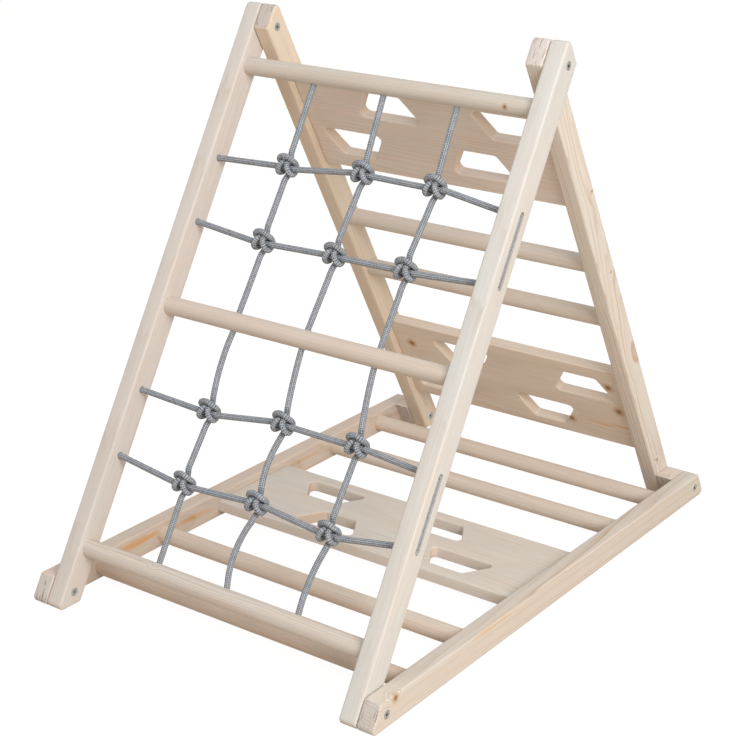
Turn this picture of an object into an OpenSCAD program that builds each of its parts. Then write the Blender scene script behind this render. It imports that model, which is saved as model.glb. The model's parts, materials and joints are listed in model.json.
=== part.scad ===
// Children's climbing triangle: a base frame, a net frame in front and a slatted back frame,
// bolted together at the three corners of an equilateral triangle.
// Millimetres, X to the right, Y to the rear, Z up. The origin is on the floor, at the middle
// of the base.

/* [Triangle] */
// Overall width over the base rails
overall_w = 670; // [600:5:760]
// Side of the equilateral triangle, measured along the outer faces of the rails
side_len = 1050; // [1000:5:1100]
// Gap between two frames that turn beside each other
frame_gap = 0.8; // [0.5:0.1:1.5]

/* [Rails] */
// Thickness of a rail, across the object
rail_t = 30; // [26:1:34]
// Depth of a rail, in the plane of its side
rail_h = 45; // [40:1:50]
// Rounding of the long edges
edge_r = 3.5; // [1:0.5:5]
// Rounding of the sharp tips of the rails
tip_r = 9; // [6:1:12]
// Rounding of the blunt corners of the rails
corner_r = 4; // [4:1:8]

/* [Rungs] */
// Diameter of every rung
rung_d = 30; // [26:1:32]
// Diameter of the spigot that is glued into the rail
spigot_d = 20; // [16:1:22]
// Length of the spigot
spigot_len = 18; // [12:1:20]
// Place of the net frame's rungs, up along the rail from its front tip
front_rungs = [112, 522, 939];
// Place of the back frame's rungs, up along the rail from its rear tip
back_rungs = [459, 587.5];
// Place of the base frame's rungs, to the rear of its front tip
base_rungs = [133, 284.5, 770.5, 919.5];

/* [Boards] */
// Thickness of a board
board_t = 20; // [16:1:22]
// Width of a board
board_w = 200; // [190:5:200]
// Rounding of a board's long edges
board_edge_r = 3; // [1:0.5:4]
// Length of the board that is let into each rail
board_tenon = 8; // [4:1:12]
// Lower edge of the back frame's lower board, up along the rail
low_board_at = 125.5; // [115:0.5:130]
// Lower edge of the back frame's upper board, up along the rail
top_board_at = 723; // [715:0.5:728]
// Front edge of the base frame's board, to the rear of the front tip
base_board_at = 426.5; // [415:0.5:435]

/* [Hand holds] */
// Length of a hand hold along its longer edge
hold_len = 129; // [110:1:132]
// Height of a hand hold
hold_h = 55; // [50:1:56]
// Strip of board between the two rows of hand holds
hold_strip = 37.5; // [36:0.5:44]
// Run of each slanted end along the board
hold_slant = 32; // [20:1:36]
// Rounding of the two corners on the longer edge
hold_r = 9; // [4:1:10]
// Rounding of the two corners on the shorter edge
hold_bend_r = 7; // [2:1:10]
// Rounding of a hand hold's rim
hold_rim = 2.5; // [1:0.5:4]
// Middles of the upper row's hand holds; the first has its longer edge on top
upper_holds = [-94, 159.5];
// Middles of the lower row's hand holds; the second has its longer edge on top
lower_holds = [-164, 65];
// How much higher each of the lower row's hand holds lies than the middle of that row
lower_lift = [1.5, -2];
// Shift of the hand holds up the back frame's lower board
low_board_shift = -2.2; // [-4:0.1:4]
// Shift of the hand holds up the back frame's upper board
top_board_shift = 3.7; // [-4:0.1:4]

/* [Rope net] */
// Diameter of the rope
rope_d = 9.6; // [9:0.1:9.8]
// Rows of the net, up along the rail, from the top down
rope_rows = [777, 666, 378, 267];
// Distance between the net's columns
column_pitch = 137; // [130:1:140]
// Shift of the columns' holes in the bottom rung to the right
low_hole_shift = 4; // [0:1:8]
// Clearance of a rope hole round the rope
rope_hole_play = 1.4; // [1:0.1:2]
// Depth of the groove that takes the rope's ends on the outside of a rail
groove_depth = 10.4; // [10.2:0.1:12]
// Distance between the two rope ends that meet in a groove
groove_end_gap = 4; // [2:0.5:8]
// Size of one unit of the knot's route
knot_unit = 8.9; // [8.8:0.1:9.4]
// Share by which a pulled knot squeezes the ropes thinner
knot_squeeze = 0.1; // [0.09:0.01:0.12]

/* [Screws] */
// Diameter of a screw head and of a sleeve nut's flange
head_d = 13; // [11:0.5:14]
// Thickness of the head
head_t = 2.2; // [1.8:0.1:2.6]
// Width across the flats of the hexagon socket
socket_af = 5; // [4:0.5:6]
// Depth of the hexagon socket
socket_depth = 3; // [2:0.5:3.5]
// Diameter of the screw's shank
screw_d = 6; // [5:0.5:6]
// Diameter of the sleeve nut's barrel, on which a frame turns
sleeve_d = 9; // [8:0.5:9]
// Radial clearance of a running or sliding fit
fit_play = 0.05; // [0.02:0.01:0.1]
// Diameter of the counterbore that sinks the head
sink_d = 14; // [13.5:0.5:16]
// Depth of the counterbore
sink_depth = 2.6; // [2.5:0.1:3]

/* [Hidden] */

// Angle of each corner of the triangle
slope = 60;
round_fn = 64;
hole_fn = 48;
// Steps of a rounded corner in a rail's outline, and layers of its rounded edge
corner_steps = 4;
edge_layers = [0, 35, 90];
// How far a cutter reaches past the face it opens
past = 1;

// Lanes across the right side, from the outside in: base rail, net frame rail, back frame rail
base_out = overall_w / 2;
base_in = base_out - rail_t;
front_out = base_in - frame_gap;
front_in = front_out - rail_t;
back_out = front_in - frame_gap;
back_in = back_out - rail_t;

// Side view: the front tip, the rear tip and the apex, as [y, z]
front_tip = [-side_len / 2, 0];
rear_tip = [side_len / 2, 0];
apex = [0, side_len * sin(slope)];
// Directions up each leaning frame and into the triangle
front_up = [cos(slope), sin(slope)];
front_inward = [sin(slope), -cos(slope)];
back_up = [-cos(slope), sin(slope)];
back_inward = [-sin(slope), -cos(slope)];

// A point of the leaning frames: distance up the rail, depth below its outer face
function front_at(s, dep = rail_h / 2) = front_tip + s * front_up + dep * front_inward;
function back_at(s, dep = rail_h / 2) = rear_tip + s * back_up + dep * back_inward;

// The pivots lie where the middle lines of two rails cross
pivot_inset = rail_h / 2 / tan(slope / 2);
front_pivot = front_tip + [pivot_inset, rail_h / 2];
rear_pivot = rear_tip + [-pivot_inset, rail_h / 2];
top_pivot = apex - [0, rail_h / 2 / sin(slope / 2)];

// ---- Outlines ----

function unit(v) = v / norm(v);

// The corner at b of the outline a-b-c, rounded to radius r
function rounded_corner(a, b, c, r) =
    let (u = unit(a - b), v = unit(c - b), half = acos(u * v) / 2,
         m = b + unit(u + v) * r / sin(half), start = b + u * r / tan(half) - m,
         end = b + v * r / tan(half) - m, turn = 180 - 2 * half)
    [for (i = [0:corner_steps])
        m + (start * sin(turn * (1 - i / corner_steps)) + end * sin(turn * i / corner_steps))
            / sin(turn)];

function rounded_outline(pts, radii) =
    let (n = len(pts))
    [for (i = [0:n - 1])
        each rounded_corner(pts[(i + n - 1) % n], pts[i], pts[(i + 1) % n], radii[i])];

// A rail's ends are cut along the outer faces of the rails that it meets, so the triangle's
// silhouette is clean
rail_radii = [tip_r, tip_r, corner_r, corner_r];
blunt = rail_h / sin(slope);
base_outline = rounded_outline(
    [front_tip, rear_tip, rear_tip + blunt * back_up, front_tip + blunt * front_up],
    rail_radii);
front_outline = rounded_outline(
    [front_tip, apex, apex - blunt * back_up, front_tip + [blunt, 0]], rail_radii);
back_outline = rounded_outline(
    [rear_tip, apex, apex - blunt * front_up, rear_tip - [blunt, 0]], rail_radii);
// The spacer has the back rail's foot, cut off level with the top of the base rail
spacer_outline = rounded_outline(
    [rear_tip, rear_tip + blunt * back_up, rear_tip + blunt * back_up - [blunt, 0],
     rear_tip - [blunt, 0]], [tip_r, corner_r, 1, corner_r]);

// ---- Placing ----

// Turns [y, z] outlines that are extruded along Z into plates that are thick along X
module across(x) {
    translate([x, 0, 0]) rotate([90, 0, 90]) children();
}

// A hole or rod along X from x0 to x1 through the side-view point p
module along_x(x0, x1, p, d, fn = hole_fn) {
    translate([x0, p[0], p[1]]) rotate([0, 90, 0]) cylinder(h = x1 - x0, d = d, $fn = fn);
}

// The plane of a leaning frame or of the base: x to the right, y up along it, z outwards
module in_front_plane() {
    translate([0, front_at(0)[0], front_at(0)[1]]) rotate([slope, 0, 0]) children();
}
module in_back_plane() {
    translate([0, back_at(0)[0], back_at(0)[1]]) rotate([180 - slope, 0, 0]) children();
}
module in_base_plane() {
    translate([0, front_tip[0], rail_h / 2]) children();
}

// A plate with rounded edges: one hull of slices that draw in towards both faces
module soft_plate(outline, thick, r) {
    hull() for (a = edge_layers)
        linear_extrude(thick - 2 * r * (1 - sin(a)), center = true)
            offset(delta = -r * (1 - cos(a))) polygon(outline);
}

// ---- Rails ----

module rail(outline, outer_x, side) {
    across(side * (outer_x - rail_t / 2)) soft_plate(outline, rail_t, edge_r);
}

// Bore for a sleeve or screw from the lane between xa and xb, with a counterbore at sink_x
module screw_bore(side, xa, xb, p, d, sink_x = undef) {
    lo = min(side * xa, side * xb);
    hi = max(side * xa, side * xb);
    along_x(lo - past, hi + past, p, d + 2 * fit_play);
    if (sink_x != undef) {
        // The counterbore goes from its face into the wood
        into = (sink_x == max(xa, xb)) ? -1 : 1;
        a = side * (sink_x - into * past);
        b = side * (sink_x + into * sink_depth);
        along_x(min(a, b), max(a, b), p, sink_d);
    }
}

// Blind hole for a rung's spigot in the inner face of a rail
module spigot_hole(side, inner_x, p) {
    a = side * (inner_x - past);
    b = side * (inner_x + spigot_len + 0.2);
    along_x(min(a, b), max(a, b), p, spigot_d + 2 * fit_play);
}

// Mortise for a board's end
module mortise(inner_x, side) {
    translate([side * (inner_x + board_tenon / 2), board_w / 2, 0])
        cube([board_tenon + 2 * fit_play, board_w + 2 * fit_play, board_t + 2 * fit_play],
            center = true);
}

module base_rail(side) {
    color("wheat") difference() {
        rail(base_outline, base_out, side);
        screw_bore(side, base_in, base_out, front_pivot, sleeve_d, base_out);
        screw_bore(side, base_in, base_out, rear_pivot, screw_d, base_out);
        for (y = base_rungs) spigot_hole(side, base_in, front_tip + [y, rail_h / 2]);
        in_base_plane() translate([0, base_board_at, 0]) mortise(base_in, side);
    }
}

module base_spacer(side) {
    thick = base_in - front_in;
    color("burlywood") difference() {
        across(side * (base_in - thick / 2)) soft_plate(spacer_outline, thick, 1);
        screw_bore(side, front_in, base_in, rear_pivot, screw_d);
    }
}

module front_rail(side) {
    color("antiquewhite") difference() {
        rail(front_outline, front_out, side);
        screw_bore(side, front_in, front_out, front_pivot, sleeve_d, front_in);
        screw_bore(side, front_in, front_out, top_pivot, sleeve_d, front_out);
        for (s = front_rungs) spigot_hole(side, front_in, front_at(s));
        for (s = rope_rows) screw_bore(side, front_in, front_out, front_at(s), hole_d);
        for (pair = [0, 2]) rope_groove(side, rope_rows[pair], rope_rows[pair + 1]);
    }
}

module back_rail(side) {
    color("tan") difference() {
        rail(back_outline, back_out, side);
        screw_bore(side, back_in, back_out, top_pivot, sleeve_d, back_in);
        screw_bore(side, back_in, back_out, rear_pivot, sleeve_d, back_in);
        for (s = back_rungs) spigot_hole(side, back_in, back_at(s));
        for (s = [low_board_at, top_board_at])
            in_back_plane() translate([0, s, 0]) mortise(back_in, side);
    }
}

// ---- Rungs ----

module rung(inner_x, p) {
    along_x(-inner_x, inner_x, p, rung_d, round_fn);
    for (side = [-1, 1]) {
        a = side * inner_x;
        b = side * (inner_x + spigot_len);
        along_x(min(a, b), max(a, b), p, spigot_d);
    }
}

module base_rung(i) {
    color("burlywood") rung(base_in, front_tip + [base_rungs[i], rail_h / 2]);
}

module back_rung(i) {
    color("burlywood") rung(back_in, back_at(back_rungs[i]));
}

// A rung of the net frame, with holes for the net's columns between the given heights from its
// axis, up the frame
module front_rung(i, hole_from, hole_to, shift = 0) {
    color("burlywood") difference() {
        rung(front_in, front_at(front_rungs[i]));
        for (c = [0:2]) in_front_plane()
            translate([column_x(c) + shift, front_rungs[i] + hole_from, column_z])
                rotate([-90, 0, 0]) cylinder(h = hole_to - hole_from, d = hole_d, $fn = hole_fn);
    }
}

// ---- Boards ----

// One hand hold round its middle: both ends are cut on a slant. longer_up puts the longer edge
// on top
function hold_outline(longer_up) =
    let (wide = hold_len / 2, narrow = wide - hold_slant, y = hold_h / 2,
         low = longer_up ? narrow : wide, high = longer_up ? wide : narrow,
         low_r = longer_up ? hold_bend_r : hold_r, high_r = longer_up ? hold_r : hold_bend_r)
    rounded_outline([[-low, -y], [low, -y], [high, y], [-high, y]],
        [low_r, low_r, high_r, high_r]);

// Cutter for a hand hold with a rounded rim on both faces
module hold_cutter(outline) {
    linear_extrude(board_t + 2 * past, center = true) polygon(outline);
    for (face = [-1, 1]) hull() for (a = [0, 45, 90])
        translate([0, 0, face * (board_t / 2 - hold_rim * sin(a))])
            linear_extrude(0.02, center = true)
                offset(delta = hold_rim * (1 - sin(a))) polygon(outline);
}

// A board of the given inner width with its hand holds. The boards are all cut alike; the back
// frame's upper board is turned half round, and the base board is turned over
module board(inner_x, hold_shift = 0) {
    half = board_w / 2;
    difference() {
        union() {
            rotate([90, 0, 90]) soft_plate(rounded_outline(
                [[0, -board_t / 2], [board_w, -board_t / 2], [board_w, board_t / 2],
                 [0, board_t / 2]], board_edge_r * [1, 1, 1, 1]), 2 * inner_x, 0.01);
            for (side = [-1, 1])
                translate([side * (inner_x + board_tenon / 2 - 0.5), half, 0])
                    cube([board_tenon - 1, board_w - 2 * board_edge_r, board_t - 2], center = true);
        }
        for (i = [0, 1]) {
            translate([upper_holds[i], half + hold_shift + (hold_strip + hold_h) / 2, 0])
                hold_cutter(hold_outline(i == 0));
            translate([lower_holds[i],
                half + hold_shift - (hold_strip + hold_h) / 2 + lower_lift[i], 0])
                hold_cutter(hold_outline(i == 1));
        }
    }
}

module base_board() {
    color("navajowhite") in_base_plane() translate([0, base_board_at + board_w, 0])
        rotate([180, 0, 0]) board(base_in);
}

module back_board_bottom() {
    color("navajowhite") in_back_plane() translate([0, low_board_at, 0])
        board(back_in, low_board_shift);
}

module back_board_top() {
    color("navajowhite") in_back_plane() translate([0, top_board_at + board_w, 0])
        rotate([0, 0, 180]) board(back_in, -top_board_shift);
}

// ---- Rope net ----

hole_d = rope_d + rope_hole_play;
function column_x(c) = (c - 1) * column_pitch;

// Route of the rope that ties one knot round a row, in knot units: x to the right, y up the
// frame, z outwards. It comes down behind the row, turns up over the front on the left, goes
// back through its own loop, lies across the front from left to right, turns round the row on
// the right and leaves behind everything
KNOT = [[-0.25, 3.1, -0.4], [-0.38, 2.15, -0.9], [-0.62, 1.12, -1.4], [-0.9, 0.1, -1.22],
    [-1.1, -0.65, -0.88], [-1.22, -1.05, 0], [-1.12, -0.75, 0.82], [-0.82, 0, 1.08],
    [-0.52, 0.6, 0.9], [-0.47, 1.05, 0.3], [-0.62, 1.15, -0.2], [-1.02, 1.1, -0.36],
    [-1.42, 1.05, -0.15], [-1.6, 1.08, 0.4], [-1.42, 1.35, 0.95], [-0.98, 1.6, 1.28],
    [-0.28, 1.74, 1.45], [0.4, 1.7, 1.5], [1, 1.52, 1.38], [1.45, 1.3, 0.92],
    [1.65, 1.12, 0.12], [1.52, 0.68, -0.85], [1.36, -0.3, -1.12], [1.5, -0.95, -0.6],
    [1.58, -1.12, 0.2], [1.3, -0.82, 0.88], [0.88, -0.2, 1.1], [0.58, 0.43, 0.98],
    [0.57, 0.98, 0.38], [0.43, 0.94, -0.5], [0.27, 0.05, -1.13], [0.18, -1.1, -0.95],
    [0.23, -2.35, -0.4]];
knot_rings = 46;
rope_sides = 6;
// Rings over which the rope goes from its full radius to its squeezed one
squeeze_rings = 3;
full_r = rope_d / 2;
squeezed_r = full_r * (1 - knot_squeeze);
KNOT_R = [for (k = [0:knot_rings]) full_r
    + (squeezed_r - full_r) * min(1, k / squeeze_rings, (knot_rings - k) / squeeze_rings)];
// A column's free rope lies behind the rows by this much
column_z = KNOT[0][2] * knot_unit;

// How far each knot has crept to the right and up from its place in the grid, row by row
KNOT_CREEP = [[[2, 5], [9, 16], [7, 15]], [[3, -11], [6, -8], [2, -7]],
    [[5, -5], [11, 9], [14, 8]], [[3, -13], [10, -7], [13, -16]]];
function knot_at(row, c) =
    [column_x(c) + KNOT_CREEP[row][c][0], rope_rows[row] + KNOT_CREEP[row][c][1], 0];

// The point at t of the smooth curve through the points pts, t counting the points
function curve_at(pts, t) =
    let (last = len(pts) - 1, i = min(floor(t), last - 1), u = t - i,
         b = pts[i], c = pts[i + 1],
         a = i > 0 ? pts[i - 1] : 2 * b - c, d = i < last - 1 ? pts[i + 2] : 2 * c - b)
    0.5 * (2 * b + (c - a) * u + (2 * a - 5 * b + 4 * c - d) * u * u
        + (3 * b - 3 * c + d - a) * u * u * u);

KNOT_PATH = [for (k = [0:knot_rings])
    knot_unit * curve_at(KNOT, k * (len(KNOT) - 1) / knot_rings)];
function knot_path(row, c) = [for (p = KNOT_PATH) p + knot_at(row, c)];

// Least gaps in a knot: rope to rope, for rings that aren't neighbours, and rope to row
near_rings = 4;
echo(rope_to_rope = min([for (i = [0:knot_rings - near_rings], j = [i + near_rings:knot_rings])
    norm(KNOT_PATH[i] - KNOT_PATH[j]) - KNOT_R[i] - KNOT_R[j]]));
echo(rope_to_row = min([for (k = [0:knot_rings])
    norm([KNOT_PATH[k][1], KNOT_PATH[k][2]]) - KNOT_R[k] - squeezed_r]));

// The free rope between the points a and b, both left out. It bows to the right by a share of
// its length
link_steps = 4;
function link(a, b, bow) =
    let (third = (b - a) / 3, side = norm(b - a) * [bow, 0, 0], p = a + third + side,
         q = b - third + side)
    [for (i = [1:link_steps]) let (t = i / (link_steps + 1), u = 1 - t)
        u * u * u * a + 3 * u * u * t * p + 3 * u * t * t * q + t * t * t * b];

// Bow of each column's free ropes, from the top down
BOW = [[0, 0, 0, -0.05, 0, 0], [0, 0, 0, -0.02, -0.08, -0.12], [0, 0, 0, -0.02, 0, -0.06]];

// A column starts in a blind hole under the top rung, passes through the middle rung and ends
// in a blind hole in the bottom rung
hole_reach = 8;
function column_path(c) =
    let (x = column_x(c), r = rung_d / 2, over = [x, front_rungs[1] + r, column_z],
         under = over - [0, 2 * r, 0], start = [x, front_rungs[2] - r, column_z],
         end = [x + low_hole_shift, front_rungs[0] + r, column_z],
         k = [for (row = [0:3]) knot_path(row, c)], n = knot_rings)
    concat([start + [0, hole_reach, 0], start],
        link(start, k[0][0], BOW[c][0]), k[0], link(k[0][n], k[1][0], BOW[c][1]), k[1],
        link(k[1][n], over, BOW[c][2]), [over, under], link(under, k[2][0], BOW[c][3]), k[2],
        link(k[2][n], k[3][0], BOW[c][4]), k[3], link(k[3][n], end, BOW[c][5]),
        [end, end - [0, hole_reach, 0]]);
function full(n) = [for (i = [1:n]) full_r];
COLUMN_R = concat(full(2 + link_steps), KNOT_R, full(link_steps), KNOT_R,
    full(2 * link_steps + 2), KNOT_R, full(link_steps), KNOT_R, full(link_steps + 2));

// A row lies in the outer grooves, turns into the rail and runs through the knots' cores.
// toward is +1 where its groove leads up the rail and -1 where it leads down
groove_x = front_out - groove_depth / 2 - 0.2;
turn_r = 6;
// The row's rings in each knot's core, in knot units, and their radii
CORE = [-2.6, -1.8, 1.8, 2.6];
CORE_R = [full_r, squeezed_r, squeezed_r, full_r];
function row_end(row, side) =
    let (pair = row % 2 == 0 ? row + 1 : row - 1, toward = sign(rope_rows[pair] - rope_rows[row]),
         s = rope_rows[row], half = (rope_rows[row] + rope_rows[pair]) / 2)
    [[side * groove_x, half - toward * groove_end_gap / 2, 0],
     for (a = [0:30:90]) [side * (groove_x - turn_r * (1 - cos(a))),
        s + toward * turn_r * (1 - sin(a)), 0],
     [side * front_in, s, 0]];
function row_path(row) =
    let (left = row_end(row, -1), right = row_end(row, 1), n = len(right))
    concat(left, [for (c = [0:2], e = CORE) knot_at(row, c) + [e * knot_unit, 0, 0]],
        [for (i = [n - 1:-1:0]) right[i]]);
ROW_R = concat(full(len(row_end(0, 1))), CORE_R, CORE_R, CORE_R, full(len(row_end(0, 1))));

function tangent(path, i) =
    unit(path[min(i + 1, len(path) - 1)] - path[max(i - 1, 0)]);
function turned(n, t) = unit(n - (n * t) * t);
// Each ring's first spoke is carried along the path, so the tube doesn't twist
function spokes(path, first) =
    [for (i = 0, n = turned(first, tangent(path, 0)); i < len(path);
          i = i + 1, n = i < len(path) ? turned(n, tangent(path, i)) : n) n];

module rope(path, radii, first) {
    n = spokes(path, first);
    m = rope_sides;
    last = len(path) - 1;
    polyhedron(
        points = [for (i = [0:last], k = [0:m - 1])
            path[i] + radii[i] * (cos(360 * k / m) * n[i]
                + sin(360 * k / m) * cross(tangent(path, i), n[i]))],
        faces = concat(
            [for (k = [1:m - 2]) [0, k, k + 1]],
            [for (i = [0:last - 1], k = [0:m - 1]) let (a = i * m + k, b = i * m + (k + 1) % m)
                each [[a, a + m, b], [b, a + m, b + m]]],
            [for (k = [1:m - 2]) [last * m, last * m + k + 1, last * m + k]]));
}

module rope_row(row) {
    color("slategray") in_front_plane() rope(row_path(row), ROW_R, [0, 0, 1]);
}

module rope_column(c) {
    color("lightslategray") in_front_plane() rope(column_path(c), COLUMN_R, [1, 0, 0]);
}

// Groove for the rope on the outer face of a rail, between the rope holes at s0 and s1
module rope_groove(side, s0, s1) {
    in_front_plane() translate([side * front_out, (s0 + s1) / 2, 0])
        cube([2 * groove_depth, s0 - s1, hole_d], center = true);
}

// ---- Screws and sleeve nuts ----

module head(x, p, side) {
    a = side * x;
    b = side * (x + head_t);
    along_x(min(a, b), max(a, b), p, head_d);
}

// Hexagon socket in the end face at x, which looks towards side
module socket(x, p, side) {
    a = side * (x + past);
    b = side * (x - socket_depth);
    along_x(min(a, b), max(a, b), p, socket_af / cos(30), 6);
}

// A screw on the right: its head starts at head_x, outside, and its shank ends at tip_x
module screw(head_x, tip_x, p) {
    difference() {
        union() {
            head(head_x, p, 1);
            along_x(tip_x, head_x + head_t / 2, p, screw_d);
        }
        socket(head_x + head_t, p, 1);
    }
}

// A sleeve nut on the right: its flange faces inwards from flange_x, its barrel ends at end_x
module sleeve(flange_x, end_x, p, hollow_from) {
    difference() {
        union() {
            along_x(flange_x - head_t, flange_x, p, head_d);
            along_x(flange_x - head_t / 2, end_x, p, sleeve_d);
        }
        along_x(hollow_from, end_x + past, p, screw_d + 2 * fit_play);
        along_x(flange_x - head_t - past, flange_x - head_t + socket_depth, p,
            socket_af / cos(30), 6);
    }
}

module both_sides() {
    for (side = [0, 1]) mirror([side, 0, 0]) children();
}

// The head rests on the floor of its counterbore, with a hair of play
seat = sink_depth - 0.05;
sleeve_hollow = 8;

module front_pivot_screws() {
    color("silver") both_sides() screw(base_out - seat, front_in + 12, front_pivot);
}
module front_pivot_sleeves() {
    color("gainsboro") both_sides()
        sleeve(front_in + seat, base_in + 15, front_pivot, front_in + sleeve_hollow);
}
module top_pivot_screws() {
    color("silver") both_sides() screw(front_out - seat, back_in + 12, top_pivot);
}
module top_pivot_sleeves() {
    color("gainsboro") both_sides()
        sleeve(back_in + seat, front_in + 15, top_pivot, back_in + sleeve_hollow);
}
// The rear screws are shown short, because the rear corner is the one that opens to fold
module rear_screws() {
    color("silver") both_sides() screw(base_out - seat, front_in + 0.2, rear_pivot);
}
module rear_sleeves() {
    color("gainsboro") both_sides()
        sleeve(back_in + seat, back_out - 0.2, rear_pivot, back_in + sleeve_hollow);
}

// ---- Parts ----

base_rail(-1);  // base_rail_left
base_rail(1);  // base_rail_right
base_spacer(-1);  // base_spacer_left
base_spacer(1);  // base_spacer_right
base_rung(0);  // base_rung_1
base_rung(1);  // base_rung_2
base_rung(2);  // base_rung_3
base_rung(3);  // base_rung_4
base_board();
front_pivot_screws();
front_pivot_sleeves();
rear_screws();
front_rail(-1);  // front_rail_left
front_rail(1);  // front_rail_right
front_rung(0, 5, 20, low_hole_shift);  // front_rung_bottom
front_rung(1, -20, 20);  // front_rung_middle
front_rung(2, -20, -5);  // front_rung_top
rope_row(0);  // rope_row_1
rope_row(1);  // rope_row_2
rope_row(2);  // rope_row_3
rope_row(3);  // rope_row_4
rope_column(0);  // rope_column_left
rope_column(1);  // rope_column_centre
rope_column(2);  // rope_column_right
top_pivot_screws();
top_pivot_sleeves();
back_rail(-1);  // back_rail_left
back_rail(1);  // back_rail_right
back_rung(0);  // back_rung_lower
back_rung(1);  // back_rung_upper
back_board_bottom();
back_board_top();
rear_sleeves();
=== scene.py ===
"""Looks for the climbing triangle: bare softwood, braided rope and zinc-plated screws.

Metres, X to the right, Y to the rear, Z up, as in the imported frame. The long pieces are made
again here from the same named sizes, with truly round edges, and the ropes with their braid.
"""
import json
import math
import random

import bmesh
import bpy
import numpy as np
from mathutils import Euler, Matrix, Vector

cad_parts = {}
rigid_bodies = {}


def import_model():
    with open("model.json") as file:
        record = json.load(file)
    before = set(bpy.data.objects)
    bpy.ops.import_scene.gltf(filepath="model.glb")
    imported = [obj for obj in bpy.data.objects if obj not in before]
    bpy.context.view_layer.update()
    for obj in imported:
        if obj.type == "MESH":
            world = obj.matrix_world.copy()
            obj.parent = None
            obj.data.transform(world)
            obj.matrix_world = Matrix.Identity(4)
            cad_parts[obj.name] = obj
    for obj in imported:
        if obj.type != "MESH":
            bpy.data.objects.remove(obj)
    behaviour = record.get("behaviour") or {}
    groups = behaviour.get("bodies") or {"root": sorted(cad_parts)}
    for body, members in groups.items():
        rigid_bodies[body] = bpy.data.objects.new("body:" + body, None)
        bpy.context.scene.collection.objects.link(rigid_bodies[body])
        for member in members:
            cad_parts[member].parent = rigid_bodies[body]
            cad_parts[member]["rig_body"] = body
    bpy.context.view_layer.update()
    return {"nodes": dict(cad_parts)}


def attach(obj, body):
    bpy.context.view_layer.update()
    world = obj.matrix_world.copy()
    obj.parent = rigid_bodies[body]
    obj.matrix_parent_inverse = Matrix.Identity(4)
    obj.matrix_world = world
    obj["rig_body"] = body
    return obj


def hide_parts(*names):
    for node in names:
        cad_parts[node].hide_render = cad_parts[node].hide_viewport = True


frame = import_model()
MM = 0.001

# ---- Sizes, as in the part's source, in millimetres ----
OVERALL_W = 670
SIDE = 1050
FRAME_GAP = 0.8
RAIL_T = 30
RAIL_H = 45
EDGE_R = 3.5
TIP_R = 9
CORNER_R = 4
SLOPE = math.radians(60)
RUNG_D = 30
FRONT_RUNGS = {"bottom": 112, "middle": 522, "top": 939}
BACK_RUNGS = {"lower": 459, "upper": 587.5}
BASE_RUNGS = {"1": 133, "2": 284.5, "3": 770.5, "4": 919.5}
BOARD_T = 20
BOARD_W = 200
LOW_BOARD_AT = 125.5
TOP_BOARD_AT = 723
BASE_BOARD_AT = 426.5
HOLD_LEN = 129
HOLD_H = 55
HOLD_STRIP = 37.5
HOLD_SLANT = 32
HOLD_R = 9
HOLD_BEND_R = 7
HOLD_RIM = 2.5
# Middles of the hand holds along their rows, and how far the lower ones are off their row
UPPER_HOLDS = (-94, 159.5)
LOWER_HOLDS = (-164, 65)
LOWER_LIFT = (1.5, -2)
# How far the two rows of a board's holds are off its middle
LOW_BOARD_SHIFT = -2.2
TOP_BOARD_SHIFT = 3.7
ROPE_ROWS = (777, 666, 378, 267)
COLUMN_PITCH = 137
LOW_HOLE_SHIFT = 4
ROPE_D = 9.6
ROPE_HOLE_D = 11
GROOVE_DEPTH = 10.4
GROOVE_END_GAP = 4
KNOT_UNIT = 8.9
KNOT_SQUEEZE = 0.1
COLUMN_Z = -0.4 * KNOT_UNIT
SINK_D = 14
SINK_DEPTH = 2.6
SLEEVE_BORE = 9.1
SCREW_BORE = 6.1
SPACER_R = 1
# How far a cutter reaches past the face it opens
CUT_PAST = 1
# How far a rope hole reaches from the middle of a rung: past its surface, and to a blind end
HOLE_PAST = 20
HOLE_END = 5
# How far the ends of the rope columns reach into their blind holes
COLUMN_REACH = 8

BASE_OUT = OVERALL_W / 2
BASE_IN = BASE_OUT - RAIL_T
FRONT_OUT = BASE_IN - FRAME_GAP
FRONT_IN = FRONT_OUT - RAIL_T
BACK_OUT = FRONT_IN - FRAME_GAP
BACK_IN = BACK_OUT - RAIL_T

FRONT_TIP = np.array([-SIDE / 2, 0.0])
REAR_TIP = np.array([SIDE / 2, 0.0])
APEX = np.array([0.0, SIDE * math.sin(SLOPE)])
FRONT_UP = np.array([math.cos(SLOPE), math.sin(SLOPE)])
FRONT_INWARD = np.array([math.sin(SLOPE), -math.cos(SLOPE)])
BACK_UP = np.array([-math.cos(SLOPE), math.sin(SLOPE)])
BACK_INWARD = np.array([-math.sin(SLOPE), -math.cos(SLOPE)])
PIVOT_INSET = RAIL_H / 2 / math.tan(SLOPE / 2)
FRONT_PIVOT = FRONT_TIP + [PIVOT_INSET, RAIL_H / 2]
REAR_PIVOT = REAR_TIP + [-PIVOT_INSET, RAIL_H / 2]
TOP_PIVOT = APEX - [0, RAIL_H / 2 / math.sin(SLOPE / 2)]


def front_at(s):
    """The point of the side view that lies s up the middle of the front rails."""
    return FRONT_TIP + s * FRONT_UP + RAIL_H / 2 * FRONT_INWARD


def back_at(s):
    """The point of the side view that lies s up the middle of the back rails."""
    return REAR_TIP + s * BACK_UP + RAIL_H / 2 * BACK_INWARD


# ---- Mesh helpers ----
EDGE_STEPS = 4
BORE_SIDES = 48
RUNG_SIDES = 96
# Vertices nearer to each other than this are one, in metres
WELD = 1e-6


def unit(v):
    return np.asarray(v, float) / np.linalg.norm(v)


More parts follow.
